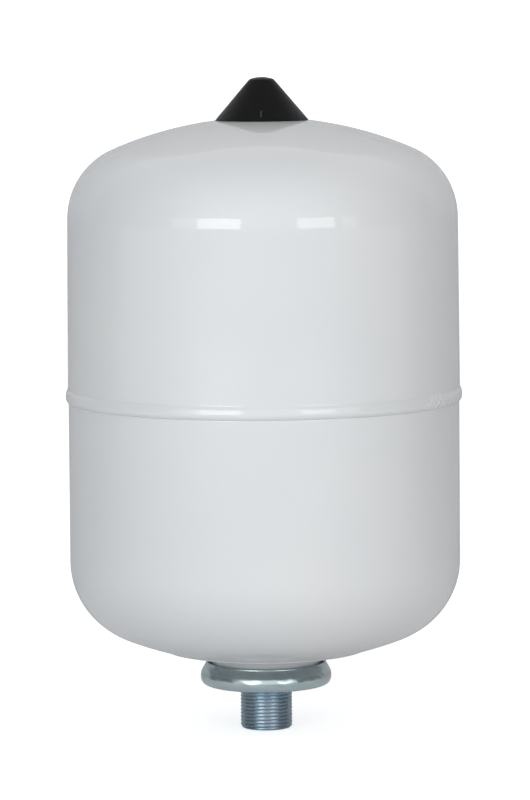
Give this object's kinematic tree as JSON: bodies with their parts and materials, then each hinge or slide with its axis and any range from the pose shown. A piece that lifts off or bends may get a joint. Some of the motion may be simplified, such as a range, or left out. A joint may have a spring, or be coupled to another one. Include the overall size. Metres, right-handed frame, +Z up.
{
  "type": "expansion vessel",
  "caption": "Upright cylindrical expansion vessel with domed ends, a welded middle seam, a threaded nipple below and a conical valve cap on top.",
  "frame": {"origin": "centre of the connection nipple's end face, which is the lowest point of the vessel", "axes": "+Z up along the vessel's axis, from the nipple to the valve cap; -Y is the front"},
  "size_m": [0.202, 0.202, 0.3334],
  "materials": {
    "white_enamel": "glossy white baked enamel on drawn steel",
    "zinc_plate": "blue-passivated zinc plating, smooth with a faint tint",
    "brass": "turned brass",
    "spring_steel": "drawn stainless wire",
    "black_plastic": "satin moulded black plastic",
    "epdm_rubber": "matt black moulded rubber bag",
    "seal_rubber": "black rubber"
  },
  "bodies": {
    "vessel": {"upper_shell": "white_enamel", "lower_shell": "white_enamel", "girth_weld": "white_enamel", "connection_flange": "zinc_plate", "nipple": "zinc_plate", "valve_boss": "white_enamel", "boss_weld": "white_enamel", "valve_stem": "brass", "valve_o_ring": "seal_rubber", "core_plug": "brass", "core_barrel": "brass", "core_gasket": "seal_rubber", "core_spring": "spring_steel"},
    "cone_cap": {"cone_cap": "black_plastic"},
    "cap_seal": {"dust_cap_seal": "seal_rubber"},
    "dust_cap": {"dust_cap": "black_plastic"},
    "valve_pin": {"core_pin": "spring_steel", "core_cup": "brass", "core_seat_washer": "seal_rubber"},
    "bag": {"membrane": "epdm_rubber"}
  },
  "joints": [
    {"name": "cone_cap_lift", "type": "slide", "parent": "vessel", "child": "cone_cap", "axis": [0, 0, 1], "range_m": [0, 0.045]},
    {"name": "dust_cap_lift", "type": "slide", "parent": "vessel", "child": "cap_seal", "axis": [0, 0, 1], "range_m": [0, 0.00397]},
    {"name": "dust_cap_turn", "type": "hinge", "parent": "cap_seal", "child": "dust_cap", "pos_m": [0, 0, 0.3225], "axis": [0, 0, 1], "range_deg": [0, 1800]},
    {"name": "pin_press", "type": "slide", "parent": "vessel", "child": "valve_pin", "axis": [0, 0, -1], "range_m": [0, 0.0015], "stiffness_N_per_m": 60, "deforming": ["core_spring"]},
    {"name": "bag_fill", "type": "slide", "parent": "vessel", "child": "bag", "axis": [0, 0, 1], "range_m": [0, 0.055], "deforming": ["membrane"]}
  ],
  "couplings": [
    {"joint": "dust_cap_turn", "follows": "dust_cap_lift", "rad_per_m": 7913.3}
  ]
}
